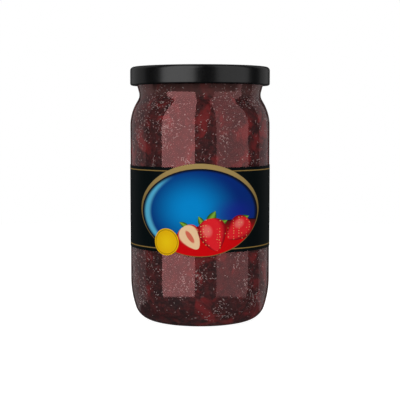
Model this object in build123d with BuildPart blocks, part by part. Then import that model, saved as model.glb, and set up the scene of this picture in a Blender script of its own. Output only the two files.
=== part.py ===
from build123d import *
import math
import os

# A closed glass jar of jam: the jar, its filling, a twist-off metal lid and a die-cut
# wrap label. All sizes are in millimetres. The jar stands on z = 0 with its axis on Z,
# and the middle of the label faces -Y.

# Overall sizes of the jar
body_radius = 42.9         # outside of the straight wall
glass_height = 154.95      # from the standing ring to the rim that the lid seals on

# Foot: a standing ring, a small corner arc and a long heel arc that runs into the wall
corner_radius = 11.0
heel_radius = 57.2
heel_height = 25.7         # where the heel arc meets the straight wall
ring_width = 2.4           # flat of the standing ring
push_up = 1.8              # rise of the bottom inside the ring

# Glass thickness
wall_thickness = 2.4
base_thickness = 4.8

# Shoulder and neck: radii step in and out from the wall, heights count down from the rim
shoulder_drop = 28.05      # corner between the wall and the shoulder slope
shoulder_round = 27.6
neck_inset = 6.05          # from the wall in to the corner of the neck groove
neck_drop = 17.5
neck_round = 6.2
bead_step = 2.55           # from the groove corner out to the bead below the threads
bead_drop = 8.0
bead_round = 1.5
finish_step = 0.25         # from the bead in to the rim's outside
finish_wall = 4.0          # glass between the rim's outside and the mouth
rim_round = 1.2
shoulder_share = 0.7       # most of the shoulder slope that the arc at its top may take
neck_share = 0.25          # and the arc at its foot

# Filling
headspace = 7.0            # from the rim down to the jam's surface

# Lid: one sheet of metal, drawn and curled inward at its lower edge
lid_sheet = 0.35
lid_height = 11.3
curl_radius = 1.3          # outside of the rolled lower edge
curl_clearance = 0.9       # from the glass bead out to the roll
lid_round = 2.2            # top edge of the skirt
panel_depth = 1.2          # recess of the middle below the top ring
panel_clearance = 0.8      # from the mouth's wall in to the foot of the recess
panel_slope = 0.6          # sideways run of the recess's wall
panel_bend = 0.8
button_radius = 16.0       # shallow vacuum button in the middle
button_rise = 0.5
button_slope = 1.5
button_bend = 1.5

# Label: a band round the wall, with an oval and a round seal that reach past its edges
label_thickness = 0.25
label_height = 49.9
label_drop = 2.0           # middle of the label below the middle of the straight wall
label_gap = 8.0            # between the two ends at the back
oval_half_width = 34.95
oval_overhang = 2.35       # past the band's upper and lower edges
seal_radius = 8.0
seal_rise = 6.1            # middle of the seal above the band's lower edge
seal_azimuth = -27.4       # degrees round from the front, negative to the left


def limited(radius, turn, run):
    """Return a corner's radius, or less where its arc would take more than the run."""
    return min(radius, run / math.tan(turn / 2))


# Foot derived from the arcs, which share a tangent where they meet
heel_centre = (body_radius - heel_radius, heel_height)
centre_distance = heel_radius - corner_radius
foot_radius = heel_centre[0] + math.sqrt(centre_distance**2 - (heel_height - corner_radius)**2)
corner_centre = (foot_radius, corner_radius)
joint_angle = -math.degrees(math.asin((heel_height - corner_radius) / centre_distance))

# Shoulder and neck derived from the wall and the rim
shoulder_z = glass_height - shoulder_drop
neck_radius = body_radius - neck_inset
neck_z = glass_height - neck_drop
bead_radius = neck_radius + bead_step
bead_z = glass_height - bead_drop
finish_radius = bead_radius - finish_step
mouth_radius = finish_radius - finish_wall
shoulder_angle = math.atan2(neck_inset, neck_z - shoulder_z)
shoulder_slope = math.hypot(neck_inset, neck_z - shoulder_z)
bead_angle = math.atan2(bead_step, bead_z - neck_z)
shoulder_arc = limited(shoulder_round, shoulder_angle, shoulder_share * shoulder_slope)
neck_arc = limited(neck_round, shoulder_angle + bead_angle, neck_share * shoulder_slope)

# Inside of the glass: the wall's corner moves down as the parallel lines move in
inner_radius = body_radius - wall_thickness
inner_shoulder_z = shoulder_z - wall_thickness * math.tan(shoulder_angle / 2)
inner_neck_z = inner_shoulder_z + (inner_radius - mouth_radius) / math.tan(shoulder_angle)
inner_slope = (inner_radius - mouth_radius) / math.sin(shoulder_angle)
inner_shoulder_arc = limited(shoulder_round - wall_thickness, shoulder_angle, shoulder_share * inner_slope)
inner_neck_arc = limited(neck_round + wall_thickness, shoulder_angle, neck_share * inner_slope)
base_lift = base_thickness - wall_thickness

# Lid derived from the bead that it passes over and the rim that it rests on
lid_radius = bead_radius + curl_clearance + 2 * curl_radius
lid_top = glass_height + lid_sheet
lid_bottom = lid_top - lid_height
panel_radius = mouth_radius - panel_clearance
panel_z = lid_top - panel_depth

# Label derived from the straight stretch of the wall
wall_top = shoulder_z - shoulder_arc * math.tan(shoulder_angle / 2)
label_middle = (heel_height + wall_top) / 2 - label_drop
label_bottom = label_middle - label_height / 2
oval_half_height = label_height / 2 + oval_overhang


def heel_lines(inset, lift):
    """Draw the corner and heel arcs, moved in by the inset and raised by the lift."""
    corner = (corner_centre[0], corner_centre[1] + lift)
    heel = (heel_centre[0], heel_centre[1] + lift)
    CenterArc(corner, corner_radius - inset, -90, 90 + joint_angle)
    CenterArc(heel, heel_radius - inset, joint_angle, -joint_angle)


def cavity_lines(top_z):
    """Draw the closed half outline of the space inside the glass, up to a height."""
    floor_z = base_thickness
    heel_lines(wall_thickness, base_lift)
    side = FilletPolyline(
        (inner_radius, heel_height + base_lift),
        (inner_radius, inner_shoulder_z),
        (mouth_radius, inner_neck_z),
        (mouth_radius, top_z),
        radius=[inner_shoulder_arc, inner_neck_arc],
    )
    Polyline(side @ 1, (0, top_z), (0, floor_z), (foot_radius, floor_z))


with BuildPart() as glass_jar:
    with BuildSketch(Plane.XZ):
        with BuildLine():
            heel_lines(0, 0)
            side = FilletPolyline(
                (body_radius, heel_height),
                (body_radius, shoulder_z),
                (neck_radius, neck_z),
                (bead_radius, bead_z),
                (finish_radius, bead_z + bead_round),
                (finish_radius, glass_height),
                radius=[shoulder_arc, neck_arc, bead_round, bead_round],
            )
            Polyline(side @ 1, (0, glass_height), (0, push_up))
            Line((foot_radius - ring_width, 0), (foot_radius, 0))
            TangentArc((0, push_up), (foot_radius - ring_width, 0), tangent=(1, 0))
        make_face()
    revolve(axis=Axis.Z)
    with BuildSketch(Plane.XZ):
        with BuildLine():
            cavity_lines(glass_height)
        make_face()
    revolve(axis=Axis.Z, mode=Mode.SUBTRACT)
    fillet(glass_jar.edges().group_by(Axis.Z)[-1], rim_round)
glass_jar.part.label = "glass_jar"

with BuildPart() as jam:
    with BuildSketch(Plane.XZ):
        with BuildLine():
            cavity_lines(glass_height - headspace)
        make_face()
    revolve(axis=Axis.Z)
jam.part.label = "jam"

with BuildPart() as lid:
    with BuildSketch(Plane.XZ):
        with BuildLine():
            FilletPolyline(
                (0, panel_z + button_rise),
                (button_radius, panel_z + button_rise),
                (button_radius + button_slope, panel_z),
                (panel_radius, panel_z),
                (panel_radius + panel_slope, lid_top),
                (lid_radius, lid_top),
                (lid_radius, lid_bottom + curl_radius),
                radius=[button_bend, button_bend, panel_bend, panel_bend, lid_round],
            )
            offset(amount=lid_sheet, side=Side.RIGHT)
        make_face()
        with Locations((lid_radius - curl_radius, lid_bottom + curl_radius)):
            Circle(curl_radius)
    revolve(axis=Axis.Z)
lid.part.label = "lid"

with BuildPart() as label:
    with BuildSketch(Plane.XY.offset(label_bottom)):
        Circle(body_radius + label_thickness)
    extrude(amount=label_height)
    with BuildSketch(Plane.XZ):
        with Locations((0, label_middle)):
            Ellipse(oval_half_width, oval_half_height)
    extrude(amount=body_radius + label_thickness)
    with BuildSketch(Plane.XZ.rotated((0, 0, seal_azimuth))):
        with Locations((0, label_bottom + seal_rise)):
            Circle(seal_radius)
    extrude(amount=body_radius + label_thickness)
    with BuildSketch(Plane.XZ):
        with Locations((0, label_middle)):
            Rectangle(label_gap, label_height)
    extrude(amount=-body_radius - label_thickness, mode=Mode.SUBTRACT)
    with BuildSketch():
        Circle(body_radius + label_thickness)
        Circle(body_radius, mode=Mode.SUBTRACT)
    extrude(amount=wall_top, mode=Mode.INTERSECT)
label.part.label = "label"

os.makedirs("parts", exist_ok=True)
for piece in (glass_jar, jam, lid, label):
    export_step(piece.part, f"parts/{piece.part.label}.step")
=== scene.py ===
import math
import random

import bpy
from mathutils import Matrix, Vector


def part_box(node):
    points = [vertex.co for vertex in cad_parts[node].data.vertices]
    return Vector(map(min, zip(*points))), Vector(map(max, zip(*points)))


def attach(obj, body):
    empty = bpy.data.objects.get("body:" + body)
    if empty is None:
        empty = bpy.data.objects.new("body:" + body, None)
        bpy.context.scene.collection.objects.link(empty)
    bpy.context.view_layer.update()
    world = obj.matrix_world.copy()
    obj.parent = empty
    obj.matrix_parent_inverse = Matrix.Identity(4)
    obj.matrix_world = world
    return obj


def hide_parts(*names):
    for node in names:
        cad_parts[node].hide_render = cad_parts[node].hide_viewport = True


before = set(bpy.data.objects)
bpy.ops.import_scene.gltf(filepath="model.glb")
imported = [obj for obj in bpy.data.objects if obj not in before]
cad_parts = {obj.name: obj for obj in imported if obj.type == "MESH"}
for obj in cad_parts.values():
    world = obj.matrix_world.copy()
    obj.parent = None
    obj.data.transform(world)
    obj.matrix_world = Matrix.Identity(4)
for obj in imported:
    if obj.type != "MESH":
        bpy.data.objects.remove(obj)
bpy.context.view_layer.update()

MM = 0.001

# ---------------------------------------------------------------- sizes, in millimetres
BODY_RADIUS = 42.9
WALL = 2.4
BASE = 4.8
FOOT_RADIUS = 29.5                        # outer edge of the ring that the jar stands on
RING_WIDTH = 2.4
PUSH_UP = 1.8                             # how far the middle of the underside is raised
CORNER_RADIUS = 11.0                      # the foot's lower arc
HEEL_RADIUS = 57.2                        # the foot's upper, flatter arc
HEEL_TOP = 25.7
NECK_RADIUS = 36.85
BEAD_RADIUS = 39.4
FINISH_RADIUS = 39.15
MOUTH_RADIUS = 35.15
INNER_SHOULDER, INNER_NECK = 126.26, 135.59
GLASS_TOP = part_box("glass_jar")[1][2] / MM
JAM_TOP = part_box("jam")[1][2] / MM
LABEL_LOW, LABEL_HIGH = 45.67, 95.57      # the straight edges of the label's band
OVAL_MIDDLE = (LABEL_LOW + LABEL_HIGH) / 2
OVAL_HALF = (34.95, 27.3)                 # half width and half height of the gold oval
LINE_INSET = 2.1                          # the gold lines, from the edges of the band
SEAL_MIDDLE = (-27.4, LABEL_LOW + 6.1)    # degrees round from the front, height
SEAL_RADIUS = 8.0
INTO_WALL = 0.3                           # how far the jam reaches into the glass
CLUSTERS, SEED_TRIES = 230, 6800
SEEDS_IN_CLUSTERS = 0.82                  # as a share of all seeds
BACK_GAP = 0.12                           # radians each side of the back where the jam shows

# ---------------------------------------------------------------- studio values
PANELS = (                                # light panels: start and end azimuth in degrees, strength
    (-152, -100, 0.24),
    (-64.8, -8.4, 1.9),
    (26.8, 85.8, 0.8),
    (114, 150, 0.26),
)
PANEL_EDGE = 0.6                          # degrees over which a panel's side fades
CAMERA_PLACE = (0, -0.6586, 0.12565)      # metres
CAMERA_DIP = 4.535                        # degrees below level
CAMERA_LENS = 95.73                       # millimetres, for a 36 mm sensor
FLOOR_RADIUS = 0.6                        # metres
LAMPS = (                                 # name, place and size in metres, watts
    ("key_lamp", (-0.75, -1.25, 0.75), (0.9, 1.3), 9.0),
    ("fill_lamp", (0.95, -1.1, 0.5), (0.9, 1.3), 5.5),
    ("top_lamp", (0.0, 0.1, 1.5), (1.2, 1.2), 4.0),
    ("back_lamp_left", (-1.0, 1.1, 0.6), (0.9, 1.3), 6.0),
    ("back_lamp_right", (1.0, 1.1, 0.6), (0.9, 1.3), 5.0),
)


# ---------------------------------------------------------------- outlines and revolved meshes
def arc(centre, radius, start, end, steps):
    """Points on an arc; angles in degrees, counted from the outward direction."""
    angles = [math.radians(start + (end - start) * i / steps) for i in range(steps + 1)]
    return [(centre[0] + radius * math.cos(a), centre[1] + radius * math.sin(a)) for a in angles]


def rounded(points, radii, steps=14):
    """A polyline whose inner corners are arcs of the given radii."""
    out = [points[0]]
    for before, corner, after, radius in zip(points, points[1:], points[2:], radii):
        c = Vector(corner)
        d1 = (Vector(before) - c).normalized()
        d2 = (Vector(after) - c).normalized()
        half = d1.angle(d2) / 2
        centre = c + (d1 + d2).normalized() * radius / math.sin(half)
        p1 = c + d1 * radius / math.tan(half)
        p2 = c + d2 * radius / math.tan(half)
        a1 = math.atan2(p1.y - centre.y, p1.x - centre.x)
        a2 = math.atan2(p2.y - centre.y, p2.x - centre.x)
        turn = (a2 - a1 + math.pi) % (2 * math.pi) - math.pi
        out += arc(centre, radius, math.degrees(a1), math.degrees(a1 + turn), steps)
    return out + [points[-1]]


def revolve(name, outline, segments=192):
    """A closed surface from a half outline of (radius, height) that starts and ends on the axis."""
    verts, faces, rings = [], [], []
    for radius, height in outline:
        if radius < 1e-6:
            rings.append([len(verts)] * segments)
            verts.append((0, 0, height * MM))
            continue
        rings.append(list(range(len(verts), len(verts) + segments)))
        for i in range(segments):
            a = 2 * math.pi * i / segments
            verts.append((radius * math.cos(a) * MM, radius * math.sin(a) * MM, height * MM))
    for low, high in zip(rings, rings[1:]):
        for i in range(segments):
            j = (i + 1) % segments
            corners = [low[i], low[j], high[j], high[i]]
            face = [v for k, v in enumerate(corners) if v not in corners[:k]]
            if len(face) > 2:
                faces.append(face)
    return add_mesh(name, verts, faces)


def add_mesh(name, verts, faces, smooth=True):
    mesh = bpy.data.meshes.new(name)
    mesh.from_pydata(verts, [], faces)
    mesh.validate()
    mesh.update()
    if smooth:
        mesh.shade_smooth()
    piece = bpy.data.objects.new(name, mesh)
    bpy.context.scene.collection.objects.link(piece)
    return piece


HEEL_CENTRE = (BODY_RADIUS - HEEL_RADIUS, HEEL_TOP)
CORNER_CENTRE = (FOOT_RADIUS, CORNER_RADIUS)
HEEL_TILT = -18.55                        # degrees, where the two arcs of the foot meet
WALL_LEAN = 0.27                          # rise of an offset corner for each millimetre of offset


def foot(inset, lift):
    """The corner arc and the heel arc of the jar, moved in and up."""
    corner = (CORNER_CENTRE[0], CORNER_CENTRE[1] + lift)
    heel = (HEEL_CENTRE[0], HEEL_CENTRE[1] + lift)
    lower = arc(corner, CORNER_RADIUS - inset, -90, HEEL_TILT, 16)
    return lower + arc(heel, HEEL_RADIUS - inset, HEEL_TILT, 0, 14)[1:]


def inner_side(grow, top):
    """The inside of the glass from the floor up, or a line that lies further into the wall."""
    radius = BODY_RADIUS - WALL + grow
    mouth = MOUTH_RADIUS + grow
    rise = WALL_LEAN * grow
    corners = [
        (radius, HEEL_TOP + BASE - WALL), (radius, INNER_SHOULDER + rise),
        (mouth, INNER_NECK + rise), (mouth, top),
    ]
    side = rounded(corners, [25.2 + grow, 8.6 - grow])
    return foot(WALL - grow, BASE - WALL) + side[1:]


def straight_steps(points, step):
    """Splits the long straight runs of an outline, so that its faces stay well shaped."""
    out = [points[0]]
    for a, b in zip(points, points[1:]):
        parts = max(1, math.ceil(math.dist(a, b) / step))
        for i in range(1, parts + 1):
            out.append((a[0] + (b[0] - a[0]) * i / parts, a[1] + (b[1] - a[1]) * i / parts))
    return out


def glass_outline():
    outer = rounded(
        [
            (BODY_RADIUS, HEEL_TOP), (BODY_RADIUS, GLASS_TOP - 28.05), (NECK_RADIUS, GLASS_TOP - 17.5),
            (BEAD_RADIUS, GLASS_TOP - 8.0), (FINISH_RADIUS, GLASS_TOP - 6.5), (FINISH_RADIUS, GLASS_TOP),
            (MOUTH_RADIUS, GLASS_TOP), (MOUTH_RADIUS, JAM_TOP),
        ],
        [27.6, 6.2, 1.5, 1.5, 1.2, 1.2],
    )
    ring = FOOT_RADIUS - RING_WIDTH
    underside = [(ring * i / 8, PUSH_UP * (1 - (i / 8) ** 2)) for i in range(9)]
    inner = list(reversed(inner_side(0, JAM_TOP)))
    return underside + foot(0, 0) + outer[1:] + inner[1:] + [(0, BASE)]


# ---------------------------------------------------------------- node helpers
class Nodes:
    """Short calls for a material's or a world's node tree."""

    def __init__(self, tree):
        self.tree = tree
        tree.nodes.clear()

    def new(self, kind, **settings):
        node = self.tree.nodes.new("ShaderNode" + kind)
        for name, value in settings.items():
            setattr(node, name, value)
        return node

    def put(self, socket, value):
        if isinstance(value, bpy.types.NodeSocket):
            self.tree.links.new(value, socket)
        elif value is not None:
            socket.default_value = value

    def math(self, operation, a, b=None, c=None):
        node = self.new("Math", operation=operation)
        for socket, value in zip(node.inputs, (a, b, c)):
            self.put(socket, value)
        return node.outputs[0]

    def add(self, a, b):
        return self.math("ADD", a, b)

    def sub(self, a, b):
        return self.math("SUBTRACT", a, b)

    def mul(self, a, b):
        return self.math("MULTIPLY", a, b)

    def div(self, a, b):
        return self.math("DIVIDE", a, b)

    def most(self, a, b):
        return self.math("MAXIMUM", a, b)

    def ramp(self, value, low, high, to_low=0.0, to_high=1.0, kind="SMOOTHSTEP"):
        """Maps low..high to to_low..to_high, with no overshoot."""
        node = self.new("MapRange", interpolation_type=kind, clamp=True)
        for socket, v in zip(node.inputs, (value, low, high, to_low, to_high)):
            self.put(socket, v)
        return node.outputs[0]

    def mix(self, factor, a, b, blend="MIX"):
        node = self.new("Mix", data_type="RGBA", blend_type=blend, clamp_factor=True)
        self.put(node.inputs["Factor"], factor)
        self.put(node.inputs[6], a)
        self.put(node.inputs[7], b)
        return node.outputs[2]

    def noise(self, vector, scale, detail=2.0, rough=0.5, distort=0.0):
        node = self.new("TexNoise")
        self.put(node.inputs["Vector"], vector)
        node.inputs["Scale"].default_value = scale
        node.inputs["Detail"].default_value = detail
        node.inputs["Roughness"].default_value = rough
        node.inputs["Distortion"].default_value = distort
        return node.outputs["Fac"]

    def spots(self, vector, scale, randomness=1.0):
        node = self.new("TexVoronoi")
        self.put(node.inputs["Vector"], vector)
        node.inputs["Scale"].default_value = scale
        node.inputs["Randomness"].default_value = randomness
        return node.outputs["Distance"]

    def position(self):
        """The object coordinates as a vector and as x, y, z, all in millimetres."""
        coordinates = self.new("TexCoord").outputs["Object"]
        scaled = self.new("VectorMath", operation="SCALE")
        self.put(scaled.inputs[0], coordinates)
        scaled.inputs["Scale"].default_value = 1 / MM
        parts = self.new("SeparateXYZ")
        self.put(parts.inputs[0], scaled.outputs[0])
        return scaled.outputs[0], parts.outputs[0], parts.outputs[1], parts.outputs[2]

    def stretched(self, vector, scale):
        node = self.new("VectorMath", operation="MULTIPLY")
        self.put(node.inputs[0], vector)
        node.inputs[1].default_value = scale
        return node.outputs[0]

    def bump(self, height, distance, strength=1.0):
        node = self.new("Bump")
        self.put(node.inputs["Height"], height)
        node.inputs["Distance"].default_value = distance
        node.inputs["Strength"].default_value = strength
        return node.outputs[0]

    def surface(self, **inputs):
        """A Principled surface; names use _ for a space."""
        shader = self.new("BsdfPrincipled")
        for name, value in inputs.items():
            self.put(shader.inputs[name.replace("_", " ")], value)
        output = self.new("OutputMaterial")
        self.put(output.inputs[0], shader.outputs[0])
        return shader


def srgb(r, g, b):
    """A colour written as it looks on screen, 0 to 255, for a shader socket."""
    parts = [c / 255 for c in (r, g, b)]
    return tuple(c / 12.92 if c <= 0.04045 else ((c + 0.055) / 1.055) ** 2.4 for c in parts) + (1.0,)


def material(name):
    mat = bpy.data.materials.new(name)
    mat.use_nodes = True
    return mat, Nodes(mat.node_tree)


# ---------------------------------------------------------------- materials
def glass_material():
    mat, n = material("clear_glass")
    vector = n.position()[0]
    ripple = n.noise(n.stretched(vector, (0.03, 0.03, 0.012)), 1.0, 1.0)
    n.surface(
        Base_Color=(1.0, 1.0, 1.0, 1.0), Roughness=0.0, IOR=1.8, Transmission_Weight=1.0,
        Specular_IOR_Level=1.0, Specular_Tint=(1.0, 0.38, 0.38, 1.0),
        Normal=n.bump(ripple, 0.0004, 0.25),
    )
    return mat


def jam_material():
    mat, n = material("red_jam")
    vector, _, _, height = n.position()
    patches = n.noise(n.stretched(vector, (1.0, 1.0, 0.8)), 0.085, 3.0, 0.55, 0.6)
    streaks = n.noise(vector, 0.32, 4.0, 0.6, 0.8)
    grain = n.noise(vector, 1.1, 3.0, 0.6)
    colour = n.mix(n.ramp(streaks, 0.35, 0.68), srgb(38, 10, 12), srgb(84, 26, 27))
    colour = n.mix(n.mul(n.ramp(patches, 0.52, 0.66), 0.8), colour, srgb(134, 34, 36))
    colour = n.mix(n.mul(n.ramp(patches, 0.46, 0.34), 0.7), colour, srgb(34, 16, 18))
    colour = n.mix(n.mul(n.ramp(grain, 0.5, 0.75), 0.3), colour, srgb(112, 60, 60))
    swirl = n.noise(n.stretched(vector, (0.22, 0.22, 0.5)), 1.0, 3.0, 0.6, 2.2)
    colour = n.mix(n.mul(n.ramp(swirl, 0.58, 0.72), 0.35), colour, srgb(140, 96, 94))
    # Painted shade: towards the top, under the lid, the jam colour is mixed towards a dull grey-brown,
    # for the lid's shade.
    colour = n.mix(n.mul(n.ramp(height, 134.0, 141.0), 0.55), colour, srgb(112, 74, 70))
    n.surface(
        Base_Color=colour, Roughness=0.45, Specular_IOR_Level=0.2, Normal=n.bump(streaks, 0.0006, 0.3),
    )
    return mat


def seed_material():
    mat, n = material("seeds")
    vector = n.position()[0]
    mottled = n.noise(vector, 0.9, 2.0)
    colour = n.mix(n.ramp(mottled, 0.35, 0.65), srgb(138, 108, 106), srgb(206, 182, 178))
    n.surface(Base_Color=colour, Roughness=0.4, Specular_IOR_Level=0.3)
    return mat


def lid_material():
    mat, n = material("black_lid")
    vector = n.position()[0]
    grain = n.noise(vector, 2.2, 3.0)
    colour = n.mix(grain, srgb(6, 6, 7), srgb(10, 10, 11))
    n.surface(
        Base_Color=colour, Roughness=n.ramp(grain, 0.3, 0.7, 0.22, 0.27), IOR=1.5,
        Specular_IOR_Level=0.5, Normal=n.bump(grain, 0.00002, 0.3),
    )
    return mat


def turned(n, x, z, centre, angle):
    """Label coordinates about a centre, turned by an angle in degrees."""
    c, s = math.cos(math.radians(angle)), math.sin(math.radians(angle))
    dx, dz = n.sub(x, centre[0]), n.sub(z, centre[1])
    return n.add(n.mul(dx, c), n.mul(dz, s)), n.sub(n.mul(dz, c), n.mul(dx, s))


def oval_distance(n, x, z, middle, half):
    """0 at the middle of an oval and 1 at its edge."""
    across, up = n.div(x, half[0]), n.div(n.sub(z, middle), half[1])
    return n.math("SQRT", n.add(n.mul(across, across), n.mul(up, up)))


def leaf(n, x, z, centre, angle, length, width):
    """A leaf that is pointed at both ends: its cover and its distance from the rib."""
    u, v = turned(n, x, z, centre, angle)
    along = n.div(u, length / 2)
    room = n.sub(1.0, n.mul(along, along))
    across = n.div(n.math("ABSOLUTE", v), n.most(n.mul(room, width / 2), 0.001))
    return n.mul(n.ramp(across, 1.06, 0.94), n.ramp(room, 0.0, 0.02)), across


def berry(n, x, z, centre, angle, length):
    """A plump cone with a rounded tip: its cover, its place across and its place along."""
    u, v = turned(n, x, z, centre, angle)
    along = n.div(v, length / 2)
    swell = n.add(1.0, n.mul(along, 0.38))
    room = n.most(n.mul(n.sub(1.0, n.mul(along, along)), n.mul(swell, swell)), 0.0001)
    across = n.div(u, length * 0.40)
    edge = n.div(n.mul(across, across), room)
    cover = n.mul(n.ramp(edge, 1.08, 0.96), n.ramp(n.math("ABSOLUTE", along), 1.0, 0.98))
    return cover, edge, across, along


def paint_berry(n, colour, x, z, vector, centre, angle, length):
    """A whole berry with pale seeds, lit from the upper left."""
    cover, edge, across, along = berry(n, x, z, centre, angle, length)
    red = n.mix(n.ramp(edge, 0.25, 1.0), srgb(232, 34, 44), srgb(138, 4, 18))
    left, up = n.add(across, 0.35), n.sub(along, 0.3)
    shine = n.ramp(n.add(n.mul(left, left), n.mul(up, up)), 0.22, 0.0)
    red = n.mix(n.mul(shine, 0.55), red, srgb(250, 140, 130))
    distance = n.spots(vector, 0.62, 0.35)
    red = n.mix(n.mul(n.ramp(distance, 0.24, 0.14), 0.75), red, srgb(236, 196, 120))
    return n.mix(cover, colour, red)


def paint_half(n, colour, x, z, centre, angle, length):
    """A halved berry: red rim, cream flesh and a deeper core."""
    cover, edge, across, along = berry(n, x, z, centre, angle, length)
    flesh = n.mix(n.ramp(edge, 0.85, 0.55), srgb(206, 24, 30), srgb(246, 206, 160))
    up = n.sub(along, 0.1)
    core = n.add(n.mul(across, n.mul(across, 14.0)), n.mul(up, n.mul(up, 2.6)))
    flesh = n.mix(n.mul(n.ramp(core, 1.0, 0.5), 0.85), flesh, srgb(216, 70, 56))
    return n.mix(cover, colour, flesh)


def paint_leaf(n, colour, x, z, centre, angle, length, width):
    cover, across = leaf(n, x, z, centre, angle, length, width)
    green = n.mix(n.ramp(across, 0.0, 0.9), srgb(132, 178, 60), srgb(36, 92, 26))
    return n.mix(cover, colour, green)


def band_print(n, vector, z):
    """The near-black band with its two gold lines."""
    colour = n.mix(n.noise(vector, 0.05, 1.0), srgb(1, 7, 8), srgb(2, 11, 13))
    for height in (LABEL_HIGH - LINE_INSET, LABEL_LOW + LINE_INSET):
        line = n.ramp(n.math("ABSOLUTE", n.sub(z, height)), 0.34, 0.2)
        colour = n.mix(line, colour, srgb(150, 122, 66))
    return colour


def field_print(n, x, z):
    """The blue field: azure in the middle, darker towards the edge, violet at the lower right."""
    middle = oval_distance(n, n.add(x, 5.0), z, OVAL_MIDDLE + 1.0, (30.0, 25.0))
    blue = n.mix(n.ramp(middle, 0.1, 1.0), srgb(0, 140, 214), srgb(2, 42, 120))
    right = oval_distance(n, n.sub(x, 20.0), z, OVAL_MIDDLE - 2.0, (17.0, 11.0))
    blue = n.mix(n.mul(n.ramp(right, 1.0, 0.1), 0.6), blue, srgb(26, 36, 150))
    glow_half = (OVAL_HALF[0] - 2.6, OVAL_HALF[1] - 3.2)
    glow = oval_distance(n, n.sub(x, 3.2), z, OVAL_MIDDLE - 1.0, glow_half)
    crescent = n.mul(n.ramp(glow, 0.97, 1.05), n.ramp(x, -14.0, -26.0))
    return n.mix(n.mul(crescent, 0.8), blue, srgb(96, 200, 236))


def sweep_print(n, x, z):
    """The red sweep along the foot of the oval: its colour and how far a point lies below its edge."""
    reach = n.sub(x, 24.0)
    edge = n.sub(65.3, n.mul(n.mul(reach, reach), 0.0061))
    below = n.sub(edge, z)
    red = n.mix(n.ramp(below, 1.0, 9.0), srgb(96, 20, 18), srgb(214, 4, 12))
    return n.mix(n.ramp(below, 0.9, 0.4), red, srgb(20, 12, 16)), below


def oval_print(n, colour, x, z, front):
    """The gold crescent, the dark ring, the blue field and the red sweep."""
    outer = oval_distance(n, x, z, OVAL_MIDDLE, OVAL_HALF)
    inner = oval_distance(n, x, z, OVAL_MIDDLE - 1.25, (OVAL_HALF[0] - 0.75, OVAL_HALF[1] - 1.75))
    field = oval_distance(n, x, z, OVAL_MIDDLE - 1.35, (OVAL_HALF[0] - 2.3, OVAL_HALF[1] - 2.9))
    gold = n.mix(n.ramp(z, 66.0, 96.0), srgb(126, 104, 58), srgb(168, 142, 88))
    colour = n.mix(n.mul(front, n.ramp(outer, 1.004, 0.996)), colour, gold)
    inside = n.mul(front, n.ramp(inner, 1.004, 0.996))
    colour = n.mix(inside, colour, srgb(4, 14, 34))
    colour = n.mix(n.mul(inside, n.ramp(field, 1.03, 0.97)), colour, field_print(n, x, z))
    red, below = sweep_print(n, x, z)
    colour = n.mix(n.mul(inside, n.ramp(below, -0.1, 0.1)), colour, red)
    fruit = fruit_print(n, colour, x, z)
    return n.mix(n.mul(front, n.ramp(outer, 1.0, 0.99)), colour, fruit)


def fruit_print(n, colour, x, z):
    """Leaves, then the right berry, the halved berry and the middle berry, back to front."""
    vector = n.position()[0]
    for centre, angle, length, width in (
        ((6.5, 65.5), 62, 11.0, 5.4),
        ((1.0, 63.5), 118, 8.5, 3.8),
        ((24.5, 65.0), 20, 9.5, 4.6),
        ((-9.0, 62.0), 150, 7.0, 3.0),
        ((12.0, 63.0), 24, 9.0, 3.8),
    ):
        colour = paint_leaf(n, colour, x, z, centre, angle, length, width)
    colour = paint_berry(n, colour, x, z, vector, (22.5, 59.2), -52, 16.5)
    colour = paint_half(n, colour, x, z, (-5.5, 54.6), 34, 15.5)
    return paint_berry(n, colour, x, z, vector, (7.6, 56.4), 14, 19.5)


def seal_print(n, colour, x, y, z, front):
    """The plain round yellow seal with a thin darker ring."""
    angle = n.math("ARCTAN2", x, n.mul(y, -1.0))
    across = n.mul(n.sub(angle, math.radians(SEAL_MIDDLE[0])), BODY_RADIUS)
    rise = n.sub(z, SEAL_MIDDLE[1])
    away = n.math("SQRT", n.add(n.mul(across, across), n.mul(rise, rise)))
    yellow = n.mix(n.ramp(away, 0.0, SEAL_RADIUS), srgb(248, 206, 16), srgb(240, 186, 8))
    ring = n.ramp(n.math("ABSOLUTE", n.sub(away, SEAL_RADIUS - 0.9)), 0.26, 0.12)
    yellow = n.mix(n.mul(ring, 0.75), yellow, srgb(120, 84, 8))
    return n.mix(n.mul(front, n.ramp(away, SEAL_RADIUS + 0.1, SEAL_RADIUS - 0.1)), colour, yellow)


def label_material():
    mat, n = material("printed_label")
    vector, x, y, z = n.position()
    front = n.ramp(y, 1.0, -1.0)
    colour = band_print(n, vector, z)
    colour = oval_print(n, colour, x, z, front)
    colour = seal_print(n, colour, x, y, z, front)
    fibre = n.noise(vector, 3.0, 3.0)
    n.surface(
        Base_Color=colour, Roughness=n.ramp(fibre, 0.3, 0.7, 0.5, 0.56), Specular_IOR_Level=0.06,
        Normal=n.bump(fibre, 0.00003, 0.2),
    )
    return mat


# ---------------------------------------------------------------- pieces
def put_material(piece, mat):
    piece.data.materials.clear()
    piece.data.materials.append(mat)


def make_glass():
    piece = revolve("glass_shell", straight_steps(glass_outline(), 6.0), 256)
    put_material(piece, glass_material())
    piece.visible_shadow = False
    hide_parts("glass_jar")
    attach(piece, "root")


def jam_outline():
    edge = (MOUTH_RADIUS + INTO_WALL, JAM_TOP)
    top = [edge, (34.0, JAM_TOP - 0.7), (20.0, JAM_TOP - 0.9), (0, JAM_TOP - 0.8)]
    side = inner_side(INTO_WALL, JAM_TOP)
    return [(0, BASE - INTO_WALL)] + side[:-1] + top


def make_jam():
    piece = revolve("jam_filling", straight_steps(jam_outline(), 4.0), 192)
    put_material(piece, jam_material())
    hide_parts("jam")
    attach(piece, "root")


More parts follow.
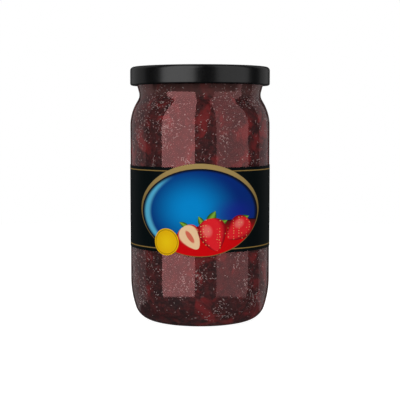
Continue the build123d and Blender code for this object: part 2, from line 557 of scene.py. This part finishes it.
def side_at(outline, height):
    """Radius and outward slope of an outline at a height."""
    for (r1, z1), (r2, z2) in zip(outline, outline[1:]):
        if z1 <= height <= z2 and z2 > z1:
            t = (height - z1) / (z2 - z1)
            return r1 + (r2 - r1) * t, math.atan2(-(r2 - r1), z2 - z1)
    return outline[-1][0], 0.0


def seed_ball():
    """Points of a coarse ball: three rings of six, then its two poles."""
    rings = [
        (math.sin(t) * math.cos(p), math.sin(t) * math.sin(p), math.cos(t))
        for t in (math.pi / 4, math.pi / 2, 3 * math.pi / 4)
        for p in [k * math.pi / 3 for k in range(6)]
    ]
    return rings + [(0, 0, 1), (0, 0, -1)]


def seed_faces(start):
    """Faces of a coarse ball whose points begin at start."""
    faces = []
    for k in range(6):
        j = (k + 1) % 6
        faces += [(start + 18, start + k, start + j), (start + 19, start + 12 + j, start + 12 + k)]
        for ring in (start, start + 6):
            faces.append((ring + k, ring + 6 + k, ring + 6 + j, ring + j))
    return faces


def seed_spot(rng, clusters):
    """Azimuth, height and turn of one seed, mostly within a cluster."""
    if rng.random() < SEEDS_IN_CLUSTERS:
        azimuth, height, spread, lean = rng.choice(clusters)
        along, across = rng.gauss(0, spread), rng.gauss(0, spread * 0.35)
        azimuth += (along * math.cos(lean) - across * math.sin(lean)) / BODY_RADIUS
        height += along * math.sin(lean) + across * math.cos(lean)
        return azimuth, height, lean + rng.gauss(0, 0.7)
    azimuth, height = rng.uniform(-math.pi, math.pi), rng.uniform(5.5, 146.0)
    return azimuth, height, rng.uniform(0, math.pi)


def seed_shows(azimuth, height):
    """Whether a place against the glass is clear of the label, the floor and the jam's top."""
    from_back = abs((azimuth % (2 * math.pi)) - math.pi)
    hidden = LABEL_LOW + 2.5 < height < LABEL_HIGH - 2.0 and from_back > BACK_GAP
    return not hidden and 5.6 < height < JAM_TOP - 1.0


def make_seeds():
    """Pale seeds that lie in the jam against the glass, in loose clusters."""
    rng = random.Random(7)
    outline = inner_side(INTO_WALL, JAM_TOP)
    clusters = []
    for _ in range(CLUSTERS):
        azimuth, height = rng.uniform(-math.pi, math.pi), rng.uniform(6.0, 143.0)
        clusters.append((azimuth, height, rng.uniform(3.0, 11.0), rng.uniform(0, math.pi)))
    verts, faces = [], []
    ball = seed_ball()
    for _ in range(SEED_TRIES):
        azimuth, height, turn = seed_spot(rng, clusters)
        if not seed_shows(azimuth, height):
            continue
        radius, slope = side_at(outline, height)
        length, width, depth = rng.uniform(0.45, 0.95), rng.uniform(0.15, 0.26), rng.uniform(0.14, 0.24)
        sunk = rng.uniform(0.02, 0.16)
        place = (
            Matrix.Rotation(azimuth, 4, "Z")
            @ Matrix.Translation((0, -(radius - sunk), height))
            @ Matrix.Rotation(slope, 4, "X")
            @ Matrix.Rotation(turn, 4, "Y")
        )
        faces += seed_faces(len(verts))
        verts += [place @ Vector((x * length, y * depth, z * width)) * MM for x, y, z in ball]
    piece = add_mesh("seeds", verts, faces)
    put_material(piece, seed_material())
    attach(piece, "root")


def smooth_node(name, degrees):
    """Shades a CAD node smoothly, apart from its sharp edges."""
    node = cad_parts[name]
    bpy.context.view_layer.objects.active = node
    node.select_set(True)
    bpy.ops.object.shade_smooth_by_angle(angle=math.radians(degrees))
    node.select_set(False)
    return node


def finish_cad_nodes():
    put_material(smooth_node("lid", 35), lid_material())
    put_material(smooth_node("label", 35), label_material())


# ---------------------------------------------------------------- studio
def studio_world():
    """White to the camera and through glass, tall light panels in reflections, dim soft fill else."""
    world = bpy.data.worlds.new("studio")
    world.use_nodes = True
    bpy.context.scene.world = world
    n = Nodes(world.node_tree)
    parts = n.new("SeparateXYZ")
    n.put(parts.inputs[0], n.new("TexCoord").outputs["Generated"])
    x, y, z = parts.outputs
    azimuth = n.math("DEGREES", n.math("ARCTAN2", x, n.mul(y, -1.0)))
    elevation = n.math("DEGREES", n.math("ARCSINE", z))
    light = None
    for start, end, strength in PANELS:
        opening = n.ramp(azimuth, start - PANEL_EDGE, start + PANEL_EDGE)
        closing = n.ramp(azimuth, end + PANEL_EDGE, end - PANEL_EDGE)
        panel = n.mul(n.mul(opening, closing), strength)
        light = panel if light is None else n.add(light, panel)
    gate = n.mul(n.ramp(elevation, -23.0, -19.5), n.ramp(elevation, 74.0, 62.0))
    seen = n.add(n.mul(light, gate), 0.03)
    path = n.new("LightPath")
    mirror = n.sub(path.outputs["Is Glossy Ray"], path.outputs["Is Transmission Ray"])
    soft = n.ramp(elevation, -60.0, 60.0, 0.25, 0.5)
    strength = n.add(n.mul(mirror, seen), n.mul(n.sub(1.0, mirror), soft))
    looking = n.most(path.outputs["Is Camera Ray"], path.outputs["Is Transmission Ray"])
    strength = n.most(strength, looking)
    background = n.new("Background")
    background.inputs[0].default_value = (1, 1, 1, 1)
    n.put(background.inputs[1], strength)
    output = n.new("OutputWorld")
    n.put(output.inputs[0], background.outputs[0])


def soft_lamp(name, place, size, power):
    lamp = bpy.data.lights.new(name, "AREA")
    lamp.shape = "RECTANGLE"
    lamp.size, lamp.size_y = size
    lamp.energy = power
    item = bpy.data.objects.new(name, lamp)
    item.location = place
    item.rotation_euler = (Vector((0, 0, 0.08)) - Vector(place)).to_track_quat("-Z", "Y").to_euler()
    item.visible_camera = item.visible_glossy = item.visible_transmission = False
    bpy.context.scene.collection.objects.link(item)


def make_floor():
    """A pale disc that glows to the camera, so that it joins the white background."""
    rim = [
        (FLOOR_RADIUS * math.cos(math.pi * k / 32), FLOOR_RADIUS * math.sin(math.pi * k / 32), 0)
        for k in range(64)
    ]
    floor = add_mesh("floor", rim, [tuple(range(64))], smooth=False)
    floor.visible_glossy = False
    mat, n = material("pale_floor")
    path = n.new("LightPath")
    looking = n.most(path.outputs["Is Camera Ray"], path.outputs["Is Transmission Ray"])
    diffuse = n.new("BsdfDiffuse")
    diffuse.inputs[0].default_value = (0.35, 0.35, 0.35, 1)
    glow = n.new("Emission")
    glow.inputs[0].default_value = (1, 1, 1, 1)
    n.put(glow.inputs[1], n.mul(looking, 0.9))
    both = n.new("AddShader")
    n.put(both.inputs[0], diffuse.outputs[0])
    n.put(both.inputs[1], glow.outputs[0])
    output = n.new("OutputMaterial")
    n.put(output.inputs[0], both.outputs[0])
    put_material(floor, mat)


def make_studio():
    studio_world()
    for name, place, size, power in LAMPS:
        soft_lamp(name, place, size, power)
    make_floor()


def make_camera():
    data = bpy.data.cameras.new("camera")
    data.sensor_width = 36.0
    data.lens = CAMERA_LENS
    camera = bpy.data.objects.new("camera", data)
    camera.location = CAMERA_PLACE
    camera.rotation_euler = (math.radians(90 - CAMERA_DIP), 0, 0)
    bpy.context.scene.collection.objects.link(camera)
    bpy.context.scene.camera = camera


make_camera()
make_studio()
make_glass()
make_jam()
make_seeds()
finish_cad_nodes()
bpy.context.scene.view_settings.view_transform = "Standard"
